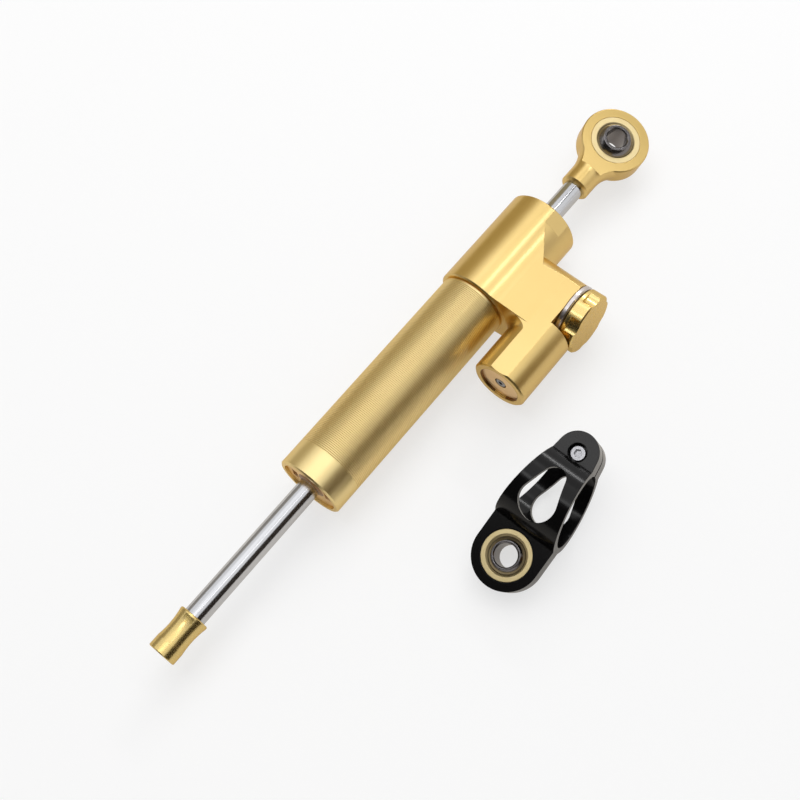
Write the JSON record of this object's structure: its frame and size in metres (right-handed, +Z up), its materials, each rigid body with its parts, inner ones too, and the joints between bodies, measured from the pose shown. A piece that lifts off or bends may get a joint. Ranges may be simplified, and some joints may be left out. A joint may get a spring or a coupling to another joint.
{
  "type": "motorcycle steering damper",
  "caption": "Linear steering damper with a through rod and spherical rod eye, side reservoir, click adjuster knob, and a loose split clamp with its own spherical bearing.",
  "frame": {"origin": "centre of the ball in the rod eye, which is where the damper is bolted down", "axes": "+X along the rod from the eye towards the end cap, +Y towards the adjuster knob, +Z up as the damper lies"},
  "size_m": [0.2662, 0.0936, 0.031],
  "materials": {
    "gold_anodised": "satin gold anodising",
    "gold_turned": "gold anodising over fine turning rings",
    "gold_polished": "bright gold anodising",
    "rose_gold": "pale pinkish gold anodising",
    "silver_anodised": "clear satin anodising",
    "plain_aluminium": "machined",
    "black_anodised": "satin black anodising",
    "hard_chrome": "ground and polished hard chrome",
    "brass": "turned and polished",
    "bronze": "plain bearing bronze",
    "bearing_steel": "ground",
    "screw_steel": "zinc plated",
    "spring_steel": "drawn wire",
    "dark_steel": "blackened",
    "rubber": "nitrile rubber",
    "wiper_plastic": "cast polyurethane",
    "ring_plastic": "filled fluoropolymer"
  },
  "bodies": {
    "barrel": {"cylinder_tube": "gold_turned", "head_block": "gold_anodised", "lower_gland": "rose_gold", "gland_o_ring": "rubber", "tube_o_ring": "rubber", "lower_bush": "bronze", "lower_seal": "rubber", "lower_wiper": "wiper_plastic", "upper_bush": "bronze", "upper_seal": "rubber", "upper_wiper": "wiper_plastic", "reservoir_plug": "rose_gold", "plug_o_ring": "rubber", "plug_circlip": "dark_steel", "bleed_screw": "screw_steel", "compensator_spring": "spring_steel", "adjuster_collar": "silver_anodised", "spindle_o_ring": "rubber", "valve_seat": "brass", "detent_spring": "spring_steel"},
    "piston": {"piston": "plain_aluminium", "piston_ring": "ring_plastic"},
    "rod": {"damper_rod": "hard_chrome", "piston_circlips": "dark_steel", "rod_eye": "gold_anodised", "eye_race": "brass", "end_cap": "gold_polished"},
    "eye_ball": {"eye_ball": "bearing_steel"},
    "knob": {"adjuster_knob": "gold_anodised", "adjuster_spindle": "screw_steel"},
    "needle": {"metering_needle": "screw_steel"},
    "compensator": {"compensator_piston": "plain_aluminium", "compensator_o_ring": "rubber"},
    "detent": {"detent_ball": "bearing_steel"},
    "clamp": {"clamp_bracket": "black_anodised", "clamp_race": "brass", "clamp_screw": "screw_steel"},
    "clamp_ball": {"clamp_ball": "bearing_steel"}
  },
  "joints": [
    {"name": "rod_slide", "type": "slide", "parent": "barrel", "child": "piston", "axis": [1, 0, 0], "range_m": [-0.0568, 0.0188]},
    {"name": "rod_spin", "type": "hinge", "parent": "piston", "child": "rod", "pos_m": [0, 0, 0], "axis": [1, 0, 0], "continuous": true},
    {"name": "eye_tilt", "type": "hinge", "parent": "rod", "child": "eye_ball", "pos_m": [0, 0, 0], "axis": [0, 0.9494, -0.314], "range_deg": [-10, 10]},
    {"name": "knob_turn", "type": "hinge", "parent": "barrel", "child": "knob", "pos_m": [0.0713, 0, 0], "axis": [0, 1, 0], "range_deg": [-135, 135]},
    {"name": "needle_feed", "type": "slide", "parent": "knob", "child": "needle", "axis": [0, 1, 0], "range_m": [-0.0004, 0.0004]},
    {"name": "compensator_slide", "type": "slide", "parent": "barrel", "child": "compensator", "axis": [1, 0, 0], "range_m": [-0.002, 0.002], "stiffness_N_per_m": 600, "deforming": ["compensator_spring"]},
    {"name": "detent_press", "type": "slide", "parent": "barrel", "child": "detent", "axis": [0, 1, 0], "range_m": [-0.0004, 0], "stiffness_N_per_m": 50, "deforming": ["detent_spring"]},
    {"name": "clamp_lift", "type": "slide", "parent": "barrel", "child": "clamp", "axis": [0, 0, 1], "range_m": [0, 0.1]},
    {"name": "clamp_tilt", "type": "hinge", "parent": "clamp", "child": "clamp_ball", "pos_m": [0.15601, 0.06719, -0.00666], "axis": [0.0175, 0.9998, 0], "range_deg": [-10, 10]}
  ],
  "couplings": [
    {"joint": "needle_feed", "follows": "knob_turn", "m_per_rad": 0.00015915}
  ]
}
